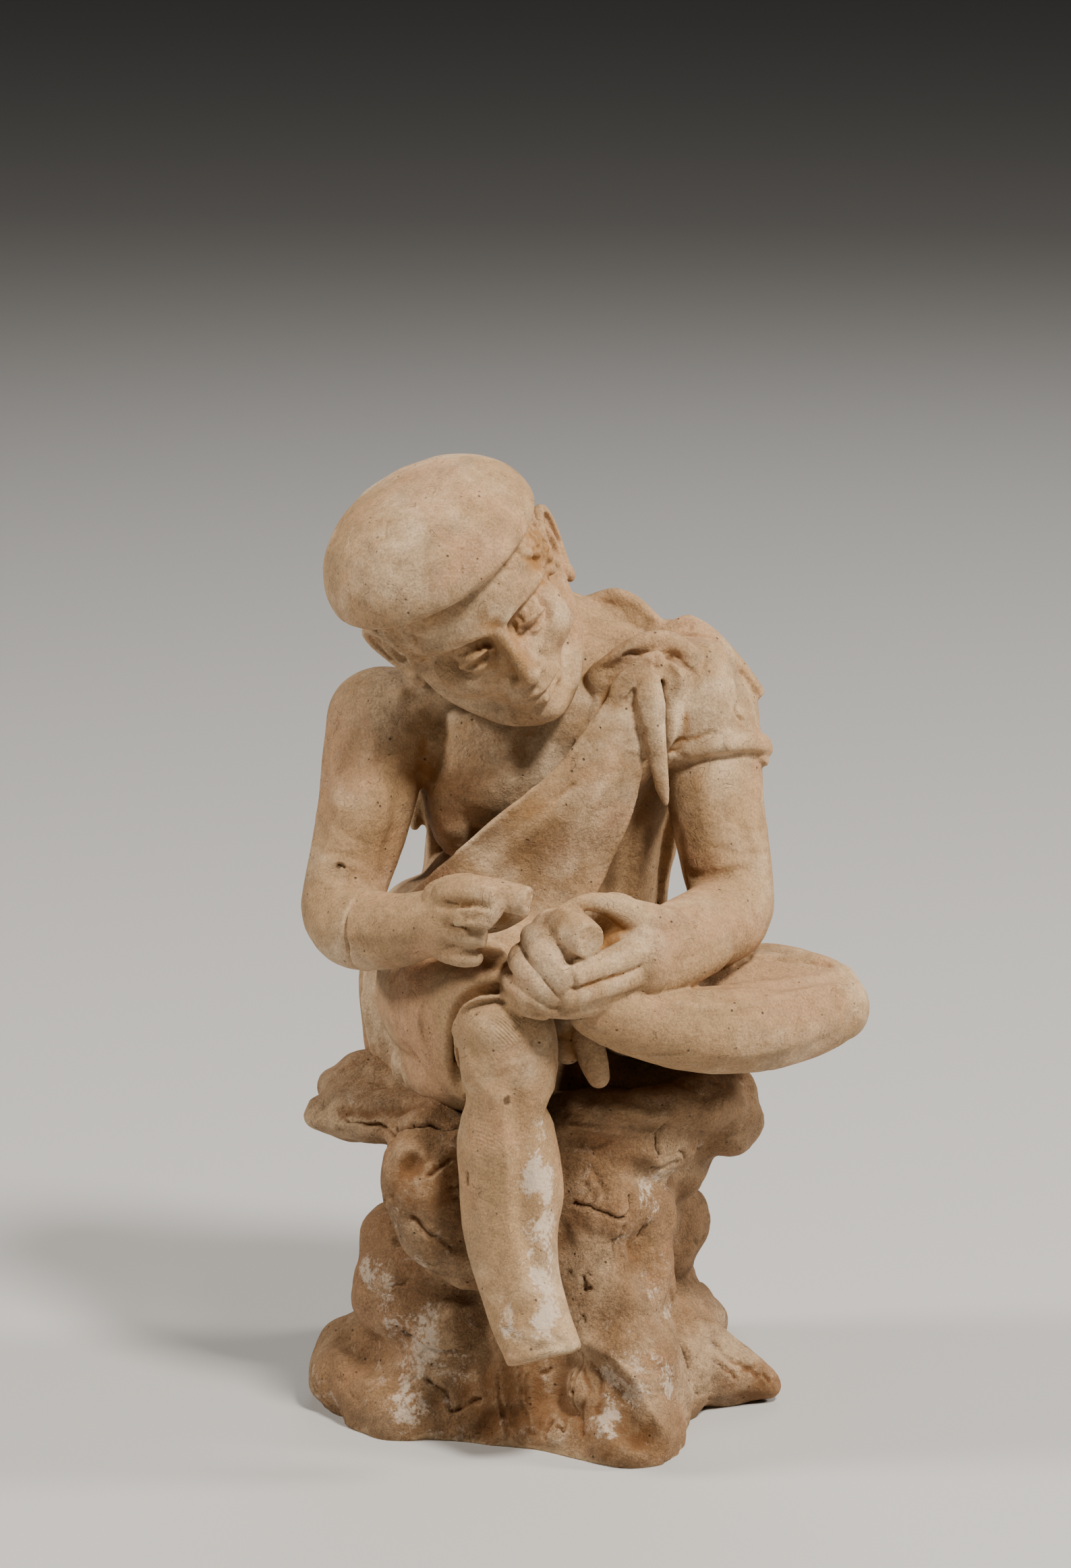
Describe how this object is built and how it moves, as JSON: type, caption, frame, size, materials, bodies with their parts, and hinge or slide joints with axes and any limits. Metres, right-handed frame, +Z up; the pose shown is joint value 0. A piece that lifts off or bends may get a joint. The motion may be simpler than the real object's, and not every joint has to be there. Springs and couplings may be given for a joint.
{
  "type": "statue",
  "caption": "Small terracotta statue of a seated man in a flat cap and slung tunic, bent over the bare foot that he holds, on a rough rock that stands by its own weight.",
  "frame": {"origin": "on the rock's flat underside, near its middle", "axes": "+Z up through the statue's height, -Y to the front, where the man faces, +X to the man's left"},
  "size_m": [0.1194, 0.1079, 0.2051],
  "materials": {
    "terracotta": "matt unglazed fired clay, warm buff, with ochre in the hollows and white slip on the shin and rock"
  },
  "bodies": {
    "root": {"seated_man_on_rock": "terracotta"}
  },
  "joints": []
}
